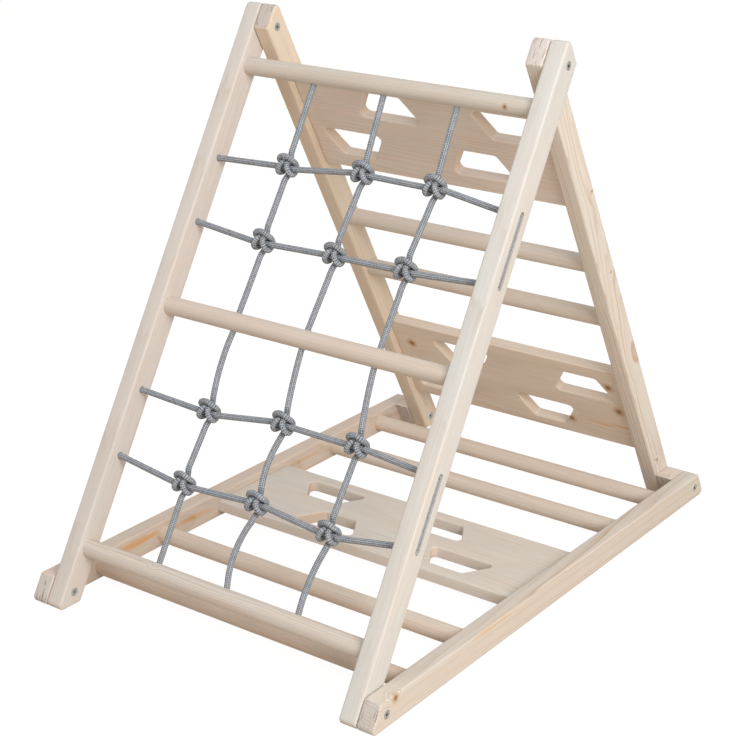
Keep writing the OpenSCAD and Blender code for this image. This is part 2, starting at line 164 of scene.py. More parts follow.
def rounded(points, radii, steps=8):
    """A closed outline with each corner rounded to its own radius."""
    out = []
    for i, (p, r) in enumerate(zip(points, radii)):
        p = np.asarray(p, float)
        u, v = unit(points[i - 1] - p), unit(points[(i + 1) % len(points)] - p)
        half = math.acos(np.clip(u @ v, -1, 1)) / 2
        middle = p + unit(u + v) * r / math.sin(half)
        start, end = p + u * r / math.tan(half) - middle, p + v * r / math.tan(half) - middle
        turn = math.pi - 2 * half
        for k in range(steps + 1):
            t = k / steps
            out.append(middle + (start * math.sin(turn * (1 - t)) + end * math.sin(turn * t))
                       / math.sin(turn))
    return out


def link(ob):
    bpy.context.scene.collection.objects.link(ob)
    return ob


def evaluated(ob, name):
    """The object's final mesh as a new plain mesh object in its place."""
    dg = bpy.context.evaluated_depsgraph_get()
    mesh = bpy.data.meshes.new_from_object(ob.evaluated_get(dg))
    matrix = ob.matrix_world.copy()
    bpy.data.objects.remove(ob)
    mesh.transform(matrix)
    mesh.name = name
    return link(bpy.data.objects.new(name, mesh))


def smooth(ob, angle=32):
    """Smooth shading, apart from edges sharper than the angle."""
    bm = bmesh.new()
    bm.from_mesh(ob.data)
    bmesh.ops.remove_doubles(bm, verts=bm.verts, dist=WELD)
    bmesh.ops.recalc_face_normals(bm, faces=bm.faces)
    limit = math.radians(angle)
    for f in bm.faces:
        f.smooth = True
    for e in bm.edges:
        e.smooth = len(e.link_faces) == 2 and e.calc_face_angle(0) < limit
    bm.to_mesh(ob.data)
    bm.free()
    return ob


def signed_area(points):
    """The area of an outline, below zero where it runs clockwise."""
    return sum(a[0] * b[1] - b[0] * a[1] for a, b in zip(points, points[1:] + points[:1])) / 2


def plate(name, outline, thick, edge_r, holes=()):
    """A plate in the XY plane, extruded along Z, with round edges outside and in its holes."""
    curve = bpy.data.curves.new(name, "CURVE")
    curve.dimensions, curve.fill_mode = "2D", "BOTH"
    curve.extrude = (thick / 2 - edge_r) * MM
    curve.bevel_depth, curve.offset = edge_r * MM, -edge_r * MM
    curve.bevel_resolution = EDGE_STEPS
    for loop, outer in [(outline, True)] + [(h, False) for h in holes]:
        points = list(loop)
        if (signed_area(points) > 0) != outer:
            points.reverse()
        line = curve.splines.new("POLY")
        line.points.add(len(points) - 1)
        for made, p in zip(line.points, points):
            made.co = (p[0] * MM, p[1] * MM, 0, 1)
        line.use_cyclic_u = True
    return evaluated(link(bpy.data.objects.new(name, curve)), name)


def solid(bm, name, place):
    """A new object of what bm holds, put in its place."""
    bmesh.ops.transform(bm, matrix=place, verts=bm.verts)
    mesh = bpy.data.meshes.new(name)
    bm.to_mesh(mesh)
    bm.free()
    return link(bpy.data.objects.new(name, mesh))


def rod(a, b, r, sides=BORE_SIDES):
    """A closed cylinder between two points, in millimetres."""
    a, b = Vector(a) * MM, Vector(b) * MM
    bm = bmesh.new()
    bmesh.ops.create_cone(bm, cap_ends=True, segments=sides, radius1=r * MM, radius2=r * MM,
                          depth=(b - a).length)
    turn = (b - a).to_track_quat("Z", "Y").to_matrix().to_4x4()
    return solid(bm, "cutter", Matrix.Translation((a + b) / 2) @ turn)


def block(low, high, turn):
    """A closed box between two corners, in millimetres, put in its place by a matrix."""
    bm = bmesh.new()
    bmesh.ops.create_cube(bm, size=1)
    size = [(h - l) * MM for l, h in zip(low, high)]
    middle = Matrix.Translation([(h + l) / 2 * MM for l, h in zip(low, high)])
    return solid(bm, "cutter", turn @ middle @ Matrix.Diagonal((*size, 1)))


def cut(ob, cutters):
    """The object less the cutters."""
    for c in cutters:
        m = ob.modifiers.new("cut", "BOOLEAN")
        m.operation, m.solver, m.object = "DIFFERENCE", "EXACT", c
    made = evaluated(ob, ob.name)
    for c in cutters:
        bpy.data.objects.remove(c)
    return made


def along_x(x0, x1, p, d, sides=BORE_SIDES):
    """A rod along X through the point p of the side view."""
    return rod((x0, p[0], p[1]), (x1, p[0], p[1]), d / 2, sides)


def plane(tilt, origin):
    """The matrix that lays the XY plane on one that leans back, through a side-view point."""
    return Matrix.Translation((0, origin[0] * MM, origin[1] * MM)) @ Matrix.Rotation(tilt, 4, "X")


FRONT_PLANE = plane(SLOPE, front_at(0))
BACK_PLANE = plane(math.pi - SLOPE, back_at(0))
BASE_PLANE = plane(0, FRONT_TIP + [0, RAIL_H / 2])
# Turns a plate in the XY plane so that it is thick along X
ACROSS = Matrix(((0, 0, 1, 0), (1, 0, 0, 0), (0, 1, 0, 0), (0, 0, 0, 1)))


# ---- Materials ----
def rgb(r, g, b):
    """A colour as it is seen on screen, from 0 to 255, as Blender's linear values."""
    return tuple(((c / 255 + 0.055) / 1.055) ** 2.4 for c in (r, g, b)) + (1,)


class Nodes:
    """Short names for making a material's nodes."""

    def __init__(self, name):
        self.mat = bpy.data.materials.new(name)
        self.mat.use_nodes = True
        self.tree = self.mat.node_tree
        self.shader = self.tree.nodes["Principled BSDF"]
        self.out = self.tree.nodes["Material Output"]

    def put(self, value, socket):
        """Links what comes out of a node to the socket, and sets anything else in it."""
        if isinstance(value, bpy.types.NodeSocket):
            self.tree.links.new(value, socket)
        else:
            socket.default_value = value

    def new(self, kind, *inputs, **settings):
        """A node with its first inputs in their order, where None leaves one as it is."""
        node = self.tree.nodes.new(kind)
        for k, v in settings.items():
            setattr(node, k, v)
        for i, v in enumerate(inputs):
            if v is not None:
                self.put(v, node.inputs[i])
        return node

    def math(self, operation, a, b=None, c=None, clamp=False):
        return self.new("ShaderNodeMath", a, b, c, operation=operation, use_clamp=clamp).outputs[0]

    def vec(self, operation, a, b=None):
        node = self.new("ShaderNodeVectorMath", a, b, operation=operation)
        return node.outputs["Value" if operation in ("LENGTH", "DISTANCE", "DOT_PRODUCT") else 0]

    def span(self, value, a, b, c=0.0, d=1.0, kind="SMOOTHSTEP"):
        """c up to a, d from b on, and a smooth change between them."""
        return self.new("ShaderNodeMapRange", value, a, b, c, d, interpolation_type=kind).outputs[0]

    def fade(self, distance, size, shares, strength=1.0):
        """strength in the middle, and down to 0 between two shares of the size."""
        return self.span(distance, size * shares[0], size * shares[1], strength, 0.0)

    def noise(self, vector, scale, detail=2.0, rough=0.5, output="Fac"):
        node = self.new("ShaderNodeTexNoise", vector, None, scale, detail, rough)
        return node.outputs[output]

    def pattern(self, vector, scale, detail, rough, output="Fac"):
        """Noise with a scale of its own on each axis."""
        return self.noise(self.vec("MULTIPLY", vector, scale), 1.0, detail, rough, output)

    def mix(self, fac, a, b, blend="MIX"):
        node = self.new("ShaderNodeMix", data_type="RGBA", blend_type=blend)
        # The colour inputs and output are numbered, because others share their names
        for value, key in ((fac, 0), (a, 6), (b, 7)):
            self.put(value, node.inputs[key])
        return node.outputs[2]

    def tinted(self, colour, tint):
        return self.mix(1.0, colour, tint, "MULTIPLY")

    def ramp(self, value, stops):
        """The colour at a value between stops, which are (value, colour)."""
        node = self.new("ShaderNodeValToRGB", value)
        band = node.color_ramp
        while len(band.elements) < len(stops):
            band.elements.new(0.5)
        for e, (at, colour) in zip(band.elements, stops):
            e.position, e.color = at, colour
        return node.outputs[0]

    def surface(self, values):
        """Sets inputs of the shader by their names."""
        for key, value in values.items():
            self.put(value, self.shader.inputs[key])

    def bump(self, height, strength, distance):
        """Relief on the surface, its distance in metres."""
        node = self.new("ShaderNodeBump", strength, distance)
        self.put(height, node.inputs["Height"])
        self.put(node.outputs[0], self.shader.inputs["Normal"])


EARLY_WOOD = rgb(240, 232, 225)
LATE_WOOD = rgb(206, 176, 150)
RESIN = rgb(218, 164, 106)
AMBER = rgb(252, 204, 138)
END_GRAIN = rgb(208, 196, 186)
END_CRACK = rgb(128, 114, 104)
KNOT_HEART = rgb(156, 112, 70)
KNOT_EDGE = rgb(204, 162, 120)
FIBRE_TINT = rgb(245, 240, 235)
BLUSH_TINTS = (rgb(255, 251, 247), rgb(252, 252, 250))

# Noise in the wood: its scale per millimetre on each axis, with the grain along the middle
# one, its detail and its roughness
WANDER = ((0.011, 0.0022, 0.011), 2.0, 0.5)
UNEVEN = ((0.05, 0.004, 0.05), 1.0, 0.5)
WARMTH = ((0.06, 0.0035, 0.06), 2.0, 0.5)
RAGGED = ((0.35, 0.02, 0.35), 3.0, 0.6)
FIBRE = ((0.9, 0.012, 0.9), 3.0, 0.6)
BLUSH = ((0.03, 0.004, 0.03), 2.0, 0.5)
PORES = ((1.6, 0.09, 1.6), 1.0, 0.5)
END_MARKS = ((0.3, 0.03, 0.04), 3.0, 0.6)
# The scale of the noise that makes knots uneven, the same on every axis
KNOT_NOISE = 0.5
# How far a piece's seed can shift the noise, in millimetres
SEED_RANGE = 4000

# Where in its range each noise begins to show, and where it shows in full
WARMTH_SPAN = (0.56, 0.72)
FIBRE_SPAN = (0.3, 0.75)
BLUSH_SPAN = (0.35, 0.65)
PORE_SPAN = (0.7, 0.78)
MARK_SPAN = (0.54, 0.66)
# The same for how squarely a face is cut across the grain
END_SPAN = (0.6, 0.8)

# How dark the wood is from the start of a year's ring to its end, from 0 to 255
YEAR_SHADES = ((0, 0), (0.45, 30), (0.82, 190), (0.93, 255), (1, 0))
# By how many years uneven growth can shift a ring, and how strong the faintest ring is
YEARS_UNEVEN = 1.3
FAINTEST_YEAR = 0.35

# Shares of a knot's or streak's radius: where it fades out, how ragged it is and how far a
# knot pushes the rings aside
KNOT_HEART_FADE = (0.75, 1.25)
KNOT_EDGE_FADE = (1.1, 2.6)
KNOT_PUSH_FADE = (0.5, 5)
KNOT_PUSH = 1.6
KNOT_RAGGED = 0.5
STREAK_FADE = (0.5, 1.2)
STREAK_RAGGED = 2.5

# How far each mark takes the wood's colour to its own
AMBER_SHARE = 0.8
WARM_SHARE = 0.15
PORE_SHARE = 0.35
KNOT_EDGE_SHARE = 0.7
KNOT_HEART_SHARE = 0.9
# The strength of the rings in end grain without cracks, and how far cracks darken them
END_LINE_SHARE = 0.6
END_LINE_DARKER = 0.6

EARLY_ROUGH = 0.62
LATE_ROUGH = 0.5
# Parts of the wood's relief
FIBRE_HEIGHT = 0.6
LINE_HEIGHT = 0.4


def ring_radius(n, local, seeded, pith, lean, wave):
    """The distance from the middle of the rings, which leans and wanders along the grain."""
    wander = n.pattern(seeded, *WANDER, output="Color")
    wander = n.vec("MULTIPLY", n.vec("SUBTRACT", wander, (0.5, 0.5, 0.5)), (wave, 0, wave))
    x, y, z = n.new("ShaderNodeSeparateXYZ", n.vec("ADD", local, wander)).outputs
    dx = n.math("MULTIPLY_ADD", y, lean[0], n.math("SUBTRACT", x, pith[0]))
    dz = n.math("MULTIPLY_ADD", y, lean[1], n.math("SUBTRACT", z, pith[1]))
    return n.math("SQRT", n.math("ADD", n.math("MULTIPLY", dx, dx), n.math("MULTIPLY", dz, dz)))


def knot_masks(n, place, seeded, radius, knots):
    """Where the knots' hearts and edges are, and the radius of the rings they push aside."""
    heart = edge = 0.0
    for *centre, size in knots:
        away = n.vec("DISTANCE", place, [c * MM for c in centre])
        away = n.math("MULTIPLY", away, 1 / MM)
        rough = n.math("MULTIPLY_ADD", n.noise(seeded, KNOT_NOISE), size * KNOT_RAGGED, away)
        heart = n.math("MAXIMUM", heart, n.fade(rough, size, KNOT_HEART_FADE))
        edge = n.math("MAXIMUM", edge, n.fade(rough, size, KNOT_EDGE_FADE))
        push = n.fade(away, size, KNOT_PUSH_FADE)
        radius = n.math("MULTIPLY_ADD", push, size * KNOT_PUSH, radius)
    return heart, edge, radius


def ring_line(n, seeded, radius, ring):
    """The dark end of each year's growth, from 0 to 1, stronger in some years than in others."""
    uneven = n.pattern(seeded, *UNEVEN)
    count = n.math("MULTIPLY_ADD", uneven, YEARS_UNEVEN, n.math("DIVIDE", radius, ring))
    line = n.ramp(n.math("FRACT", count), [(at, rgb(s, s, s)) for at, s in YEAR_SHADES])
    year = n.new("ShaderNodeTexWhiteNoise", noise_dimensions="1D")
    n.put(n.math("FLOOR", count), year.inputs["W"])
    strong = n.span(year.outputs["Value"], 0, 1, FAINTEST_YEAR, 1.0, "LINEAR")
    return n.math("MULTIPLY", line, strong)


def streak_mask(n, local, seeded, turn, streaks):
    """Where the streaks of resin are, long along the grain and ragged at their edges."""
    ragged = n.math("SUBTRACT", n.pattern(seeded, *RAGGED), 0.5)
    mask = 0.0
    for *centre, size, stretch, strength in streaks:
        centre = Euler(turn).to_matrix() @ Vector(centre)
        away = n.vec("MULTIPLY", n.vec("SUBTRACT", local, centre), (1, 1 / stretch, 1))
        away = n.math("MULTIPLY_ADD", ragged, size * STREAK_RAGGED, n.vec("LENGTH", away))
        mask = n.math("MAXIMUM", mask, n.fade(away, size, STREAK_FADE, strength))
    return mask


def wood(name, turn, pith, seed, ring=3.4, lean=(0.012, 0.02), wave=14, contrast=0.5, resin=0.3,
         late=LATE_WOOD, knots=(), streaks=(), tint=(255, 255, 255), end_tint=END_GRAIN,
         cracks=0.5):
    """Softwood as a solid texture: growth rings round a pith that lies beside the piece.

    turn turns the shared frame so that the grain runs along Y. pith is where the middle of the
    rings lies, across the grain, in millimetres; lean tilts it along the grain, which gives the
    arched figure on flat faces, and wave is how far it wanders. ring is the width of a year's
    growth, contrast the strength of the late wood and late its colour. resin is the strength
    of warm patches. knots are (x, y, z, radius) at rest, in millimetres, and streaks of resin
    are (x, y, z, radius, stretch along the grain, strength). tint multiplies the colour of
    faces along the grain. Faces cut across it take end_tint, with dark marks and dark rings to
    the share cracks.
    """
    n = Nodes(name)
    coords = n.new("ShaderNodeTexCoord")
    place = coords.outputs["Object"]
    local = n.new("ShaderNodeMapping", place, None, turn, [1 / MM] * 3).outputs[0]
    rng = random.Random(seed)
    shift = tuple(rng.uniform(-SEED_RANGE, SEED_RANGE) for _ in range(3))
    seeded = n.vec("ADD", local, shift)

    radius = ring_radius(n, local, seeded, pith, lean, wave)
    heart, edge, radius = knot_masks(n, place, seeded, radius, knots)
    line = ring_line(n, seeded, radius, ring)
    amber = streak_mask(n, local, seeded, turn, streaks)
    warm = n.math("MULTIPLY", n.span(n.pattern(seeded, *WARMTH), *WARMTH_SPAN), resin)
    warm = n.math("MAXIMUM", warm, amber)
    line = n.math("MULTIPLY", line, n.math("ADD", warm, contrast), clamp=True)

    colour = n.mix(n.math("MULTIPLY", amber, AMBER_SHARE), EARLY_WOOD, AMBER)
    colour = n.mix(n.math("MULTIPLY", warm, WARM_SHARE), colour, RESIN)
    colour = n.mix(line, colour, n.mix(warm, late, RESIN))
    fibre = n.pattern(seeded, *FIBRE)
    colour = n.mix(n.span(fibre, *FIBRE_SPAN), colour, n.tinted(colour, FIBRE_TINT))
    blush = n.mix(n.span(n.pattern(seeded, *BLUSH), *BLUSH_SPAN), *BLUSH_TINTS)
    colour = n.tinted(colour, blush)
    pores = n.span(n.pattern(seeded, *PORES), *PORE_SPAN)
    colour = n.mix(n.math("MULTIPLY", pores, PORE_SHARE), colour, LATE_WOOD)
    colour = n.mix(n.math("MULTIPLY", edge, KNOT_EDGE_SHARE), colour, KNOT_EDGE)
    colour = n.mix(n.math("MULTIPLY", heart, KNOT_HEART_SHARE), colour, KNOT_HEART)

    facing = n.new("ShaderNodeMapping", coords.outputs["Normal"], None, turn,
                   vector_type="NORMAL").outputs[0]
    across = n.new("ShaderNodeSeparateXYZ", facing).outputs[1]
    cut_end = n.span(n.math("ABSOLUTE", across), *END_SPAN)
    marks = n.math("MULTIPLY", n.span(n.pattern(seeded, *END_MARKS), *MARK_SPAN), cracks)
    end_line = n.math("MULTIPLY", line, END_LINE_SHARE + (1 - END_LINE_SHARE) * cracks, clamp=True)
    sawn = n.mix(end_line, n.mix(marks, end_tint, END_CRACK),
                 n.mix(END_LINE_DARKER * cracks, late, END_CRACK))
    n.surface({"Base Color": n.mix(cut_end, n.tinted(colour, rgb(*tint)), sawn),
               "Roughness": n.span(line, 0, 1, EARLY_ROUGH, LATE_ROUGH, "LINEAR"),
               "Specular IOR Level": 0.3})
    height = n.math("MULTIPLY_ADD", fibre, FIBRE_HEIGHT, n.math("MULTIPLY", line, LINE_HEIGHT))
    n.bump(height, strength=0.18, distance=0.0004)
    return n.mat


# Turns for wood whose grain runs along an axis, a frame's rails or the back boards
ALONG_Y = (0, 0, 0)
ALONG_X = (0, 0, math.pi / 2)
ALONG_FRONT = (-SLOPE, 0, 0)
ALONG_BACK = (SLOPE - math.pi, 0, 0)
BACK_BOARD = (SLOPE - math.pi, 0, math.pi / 2)

ZINC = (rgb(138, 142, 141), rgb(182, 184, 179))
ZINC_ROUGH = (0.28, 0.42)
# The middle of a noise's range, where it shows as patches
PATCH_SPAN = (0.3, 0.7)


def zinc():
    """Zinc plate for the screws and sleeve nuts, a little cloudy."""
    n = Nodes("zinc_plate")
    place = n.new("ShaderNodeTexCoord").outputs["Object"]
    cloud = n.noise(place, scale=900, detail=3.0, rough=0.6)
    n.surface({"Base Color": n.mix(cloud, *ZINC), "Metallic": 1.0,
               "Roughness": n.span(cloud, *PATCH_SPAN, *ZINC_ROUGH)})
    n.bump(cloud, strength=0.1, distance=0.0002)
    return n.mat


# Strands each way round the rope, and the length in which one goes round once, in millimetres
STRANDS = 5
LAY_PITCH = 26
BRAID_TURN = STRANDS * 2 * math.pi
# Share by which the braid is drawn out where a knot bends the rope
BRAID_OPENS = 0.18
# How far the rope's own tone differs from strand to strand and within the fluff
YARN_VARIES = 0.16
FLUFF_VARIES = 0.25
# Greys for the braid from dark to light; the dark end falls where the strands dip, as painted shade
# in the pits between them
BRAID_GREYS_WITH_PIT_SHADE = ((0.1, rgb(78, 84, 91)), (0.5, rgb(142, 147, 154)), (0.9, rgb(199, 203, 208)))
WORN_ROPE = rgb(152, 157, 161)
WORN_SHARE = 0.1


def braided():
    """Braid over the UV map: U once round the rope, V in millimetres along it.

    The pits between the strands are painted darker, which is painted shade; the yarn and
    fluff vary the rope's own tone.
    """
    n = Nodes("braided_rope")
    coords = n.new("ShaderNodeTexCoord")
    place = coords.outputs["Object"]
    split = n.new("ShaderNodeSeparateXYZ", coords.outputs["UV"])
    u = n.math("MULTIPLY", split.outputs[0], BRAID_TURN)
    v = n.math("MULTIPLY", split.outputs[1], BRAID_TURN / LAY_PITCH)
    one, two = n.math("ADD", u, v), n.math("SUBTRACT", u, v)
    weave = n.math("MULTIPLY", n.math("COSINE", one), n.math("COSINE", two))
    weave = n.math("MULTIPLY_ADD", weave, 0.5, 0.5)
    turns = [n.math("MULTIPLY", angle, 0.5 / math.pi) for angle in (one, two)]
    cell = n.vec("FLOOR", n.new("ShaderNodeCombineXYZ", *turns).outputs[0])
    yarn = n.new("ShaderNodeTexWhiteNoise", cell, noise_dimensions="2D").outputs["Value"]
    fluff = n.noise(place, scale=1500)
    shade = n.math("MULTIPLY_ADD", n.math("SUBTRACT", fluff, 0.5), FLUFF_VARIES, weave)
    shade = n.math("MULTIPLY_ADD", n.math("SUBTRACT", yarn, 0.5), YARN_VARIES, shade)
    worn = n.span(n.noise(place, scale=60), *PATCH_SPAN, 0, WORN_SHARE)
    # Painted shade: the ramp darkens the braid where its relief dips, in the pits between the
    # strands; the yarn and fluff add the rope's own tone
    n.surface({"Base Color": n.mix(worn, n.ramp(shade, BRAID_GREYS_WITH_PIT_SHADE), WORN_ROPE),
               "Roughness": 0.75, "Specular IOR Level": 0.25})
    n.bump(shade, strength=0.5, distance=0.0006)
    return n.mat


def dress(ob, material):
    ob.data.materials.clear()
    ob.data.materials.append(material)


def stand_in(ob, node, material):
    """The piece takes the node's place and rides with its body."""
    dress(ob, material)
    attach(ob, frame["nodes"][node]["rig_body"])
    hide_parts(node)


# ---- Rails ----
BLUNT = RAIL_H / math.sin(SLOPE)
RAIL_RADII = (TIP_R, TIP_R, CORNER_R, CORNER_R)
BASE_OUTLINE = rounded([FRONT_TIP, REAR_TIP, REAR_TIP + BLUNT * BACK_UP,
                        FRONT_TIP + BLUNT * FRONT_UP], RAIL_RADII)
FRONT_OUTLINE = rounded([FRONT_TIP, APEX, APEX - BLUNT * BACK_UP, FRONT_TIP + [BLUNT, 0]],
                        RAIL_RADII)
BACK_OUTLINE = rounded([REAR_TIP, APEX, APEX - BLUNT * FRONT_UP, REAR_TIP - [BLUNT, 0]],
                       RAIL_RADII)
SPACER_OUTLINE = rounded([REAR_TIP, REAR_TIP + BLUNT * BACK_UP,
                          REAR_TIP + BLUNT * BACK_UP - [BLUNT, 0], REAR_TIP - [BLUNT, 0]],
                         (TIP_R, CORNER_R, SPACER_R, CORNER_R))


def rail(name, outline, side, outer_x, cutters, edge_r=EDGE_R, thick=RAIL_T):
    """A plate with this outline in the side view, its outer face at outer_x, less the cutters."""
    ob = plate(name, outline, thick, edge_r)
    ob.data.transform(Matrix.Translation((side * (outer_x - thick / 2) * MM, 0, 0)) @ ACROSS)
    return smooth(cut(ob, cutters))


def bore(side, inner_x, outer_x, p, d, sink_x=None):
    """Cutters for a bore through a rail, with a flat sink in the face at sink_x."""
    made = [along_x(side * (inner_x - CUT_PAST), side * (outer_x + CUT_PAST), p, d)]
    if sink_x is not None:
        into = -1 if sink_x == outer_x else 1
        made.append(along_x(side * (sink_x - into * CUT_PAST), side * (sink_x + into * SINK_DEPTH),
                            p, SINK_D))
    return made


def groove(side, top, bottom):
    """The cutter for the groove between two rope holes."""
    half = ROPE_HOLE_D / 2
    out = side * (FRONT_OUT + CUT_PAST)
    floor = side * (FRONT_OUT - GROOVE_DEPTH)
    return block((min(out, floor), bottom, -half), (max(out, floor), top, half), FRONT_PLANE)


# Each rail is a piece of wood of its own, read from the photo: where its rings and marks lie
RAIL_WOOD = {
    "base_left": wood("wood_base_left", ALONG_Y, (-400, 22), 2, tint=(241, 234, 228),
                      end_tint=rgb(214, 206, 198), cracks=1.0,
                      streaks=((-305, -305, 30, 8, 7, 1.0), (-305, -165, 24, 6, 8, 0.8),
                               (-305, 148, 27, 5, 8, 0.5))),
    "base_right": wood("wood_base_right", ALONG_Y, (255, -220), 4, ring=4.2, wave=8,
                       lean=(0.0, 0.012), contrast=0.9, resin=0.2, tint=(240, 240, 237),
                       knots=((335, -465, 39.5, 5),), cracks=0.7, end_tint=rgb(208, 202, 194),
                       late=rgb(210, 176, 134), streaks=((335, -215, 41, 2.5, 25, 0.6),)),
    "front_left": wood("wood_front_left", ALONG_FRONT, (-289, 270), 20, wave=8, contrast=0.25,
                       resin=0.2, tint=(237, 239, 242)),
    "front_right": wood("wood_front_right", ALONG_FRONT, (289, 250), 22, wave=8, contrast=0.22,
                        resin=0.2, tint=(238, 245, 249),
                        streaks=((304.2, -375, 255, 4, 30, 0.1),)),
    "back_left": wood("wood_back_left", ALONG_BACK, (-200, -432), 30, contrast=0.35, resin=0.2,
                      tint=(248, 240, 227), cracks=1.0),
    "back_right": wood("wood_back_right", ALONG_BACK, (205, -446), 32, ring=3.7, wave=34,
                       lean=(0.015, 0.01), contrast=1.0, resin=0.2, tint=(246, 247, 245),
                       end_tint=rgb(222, 213, 208),
                       knots=((273.4, 149, 639, 1.8), (273.4, 229, 485, 1.6),
                              (273.4, 450, 74, 2.4))),
}

for side, word in ((-1, "left"), (1, "right")):
    base = rail(f"base_rail_{word}_wood", BASE_OUTLINE, side, BASE_OUT,
                bore(side, BASE_IN, BASE_OUT, FRONT_PIVOT, SLEEVE_BORE, BASE_OUT)
                + bore(side, BASE_IN, BASE_OUT, REAR_PIVOT, SCREW_BORE, BASE_OUT))
    stand_in(base, f"base_rail_{word}", RAIL_WOOD[f"base_{word}"])

    spacer = rail(f"base_spacer_{word}_wood", SPACER_OUTLINE, side, BASE_IN,
                  bore(side, FRONT_IN, BASE_IN, REAR_PIVOT, SCREW_BORE), SPACER_R,
                  BASE_IN - FRONT_IN)
    spacer_wood = wood(f"wood_spacer_{word}", ALONG_Y, (290 * side, -110), 11 + side,
                       tint=(246, 243, 238))
    stand_in(spacer, f"base_spacer_{word}", spacer_wood)

    holes = [c for s in ROPE_ROWS for c in bore(side, FRONT_IN, FRONT_OUT, front_at(s),
                                                ROPE_HOLE_D)]
    grooves = [groove(side, *ROPE_ROWS[:2]), groove(side, *ROPE_ROWS[2:])]
    front = rail(f"front_rail_{word}_wood", FRONT_OUTLINE, side, FRONT_OUT,
                 bore(side, FRONT_IN, FRONT_OUT, FRONT_PIVOT, SLEEVE_BORE, FRONT_IN)
                 + bore(side, FRONT_IN, FRONT_OUT, TOP_PIVOT, SLEEVE_BORE, FRONT_OUT)
                 + holes + grooves)
    stand_in(front, f"front_rail_{word}", RAIL_WOOD[f"front_{word}"])

    back = rail(f"back_rail_{word}_wood", BACK_OUTLINE, side, BACK_OUT,
                bore(side, BACK_IN, BACK_OUT, TOP_PIVOT, SLEEVE_BORE, BACK_IN)
                + bore(side, BACK_IN, BACK_OUT, REAR_PIVOT, SLEEVE_BORE, BACK_IN))
    stand_in(back, f"back_rail_{word}", RAIL_WOOD[f"back_{word}"])


# ---- Rungs ----
def rung(node, inner_x, p, seed, holes=(), pith=(28, -38), lean=(0.02, 0.03), wave=14,
         contrast=0.4, tint=(241, 237, 232), knots=()):
    """A rung through the point p of the side view. The rings' middle is counted from there."""
    name = node + "_wood"
    ob = smooth(cut(along_x(-inner_x, inner_x, p, RUNG_D, RUNG_SIDES), list(holes)))
    ob.name = name
    grain = wood("wood_" + name, ALONG_X, (pith[0] - p[0], pith[1] + p[1]), seed, lean=lean,
                 wave=wave, contrast=contrast, knots=knots, tint=tint)
    stand_in(ob, node, grain)


def column_x(c):
    return (c - 1) * COLUMN_PITCH


def column_holes(s, low, high, shift=0):
    """Cutters for the three columns' holes in the rung that lies s up the front rails."""
    made = []
    for c in range(3):
        x = column_x(c) + shift
        hole = rod((x, s + low, COLUMN_Z), (x, s + high, COLUMN_Z), ROPE_HOLE_D / 2)
        hole.data.transform(FRONT_PLANE)
        made.append(hole)
    return made


RUNG_TINT = {"base_rung_1": (238, 229, 220), "base_rung_2": (246, 240, 233),
             "base_rung_3": (241, 237, 232), "base_rung_4": (241, 238, 234),
             "back_rung_lower": (238, 234, 228), "back_rung_upper": (242, 241, 238)}

for i, (word, y) in enumerate(BASE_RUNGS.items()):
    node = f"base_rung_{word}"
    rung(node, BASE_IN, FRONT_TIP + [y, RAIL_H / 2], 41 + i, tint=RUNG_TINT[node])
for i, (word, s) in enumerate(BACK_RUNGS.items()):
    node = f"back_rung_{word}"
    rung(node, BACK_IN, back_at(s), 51 + i, tint=RUNG_TINT[node])
# The knot lies inside the bottom rung, and only the lines that it bends show outside
rung("front_rung_bottom", FRONT_IN, front_at(FRONT_RUNGS["bottom"]), 61,
     column_holes(FRONT_RUNGS["bottom"], HOLE_END, HOLE_PAST, LOW_HOLE_SHIFT), pith=(16, -30),
     lean=(-0.01, -0.014), wave=20, contrast=0.7, tint=(236, 235, 234),
     knots=((-130, -451.5, 89, 4),))
rung("front_rung_middle", FRONT_IN, front_at(FRONT_RUNGS["middle"]), 62,
     column_holes(FRONT_RUNGS["middle"], -HOLE_PAST, HOLE_PAST), contrast=0.25,
     tint=(235, 231, 227))
rung("front_rung_top", FRONT_IN, front_at(FRONT_RUNGS["top"]), 63,
     column_holes(FRONT_RUNGS["top"], -HOLE_PAST, -HOLE_END), contrast=0.3,
     tint=(229, 230, 228), knots=((227.6, -51.3, 801.5, 3),))


# ---- Boards ----
def hold(longer_up):
    """A hand hold round its middle, with both ends on a slant."""
    wide, y = HOLD_LEN / 2, HOLD_H / 2
    low, low_r, high, high_r = wide, HOLD_R, wide - HOLD_SLANT, HOLD_BEND_R
    if longer_up:
        low, low_r, high, high_r = high, high_r, low, low_r
    points = [np.array(p) for p in ((-low, -y), (low, -y), (high, y), (-high, y))]
    return rounded(points, (low_r, low_r, high_r, high_r))


def board(node, inner_x, place, turn, pith, seed, hold_shift=0, tint=(255, 255, 255), knots=(),
          streaks=()):
    """A board with its four holds, made in the XY plane and put in its place by a matrix."""
    name = node + "_wood"
    middle, apart = BOARD_W / 2 + hold_shift, (HOLD_STRIP + HOLD_H) / 2
    corners = [np.array(p, float) for p in
               ((-inner_x, 0), (inner_x, 0), (inner_x, BOARD_W), (-inner_x, BOARD_W))]
    holes = []
    for i in range(2):
        for x, y, longer_up in ((UPPER_HOLDS[i], middle + apart, i == 0),
                                (LOWER_HOLDS[i], middle - apart + LOWER_LIFT[i], i == 1)):
            holes.append([p + [x, y] for p in hold(longer_up)])
    ob = plate(name, corners, BOARD_T, HOLD_RIM, holes)
    ob.data.transform(place)
    grain = wood("wood_" + name, turn, pith, seed, ring=3.6, lean=(0.01, 0.015), wave=12,
                 contrast=0.4, knots=knots, streaks=streaks, tint=tint,
                 end_tint=rgb(226, 204, 182), cracks=0)
    stand_in(smooth(ob), node, grain)


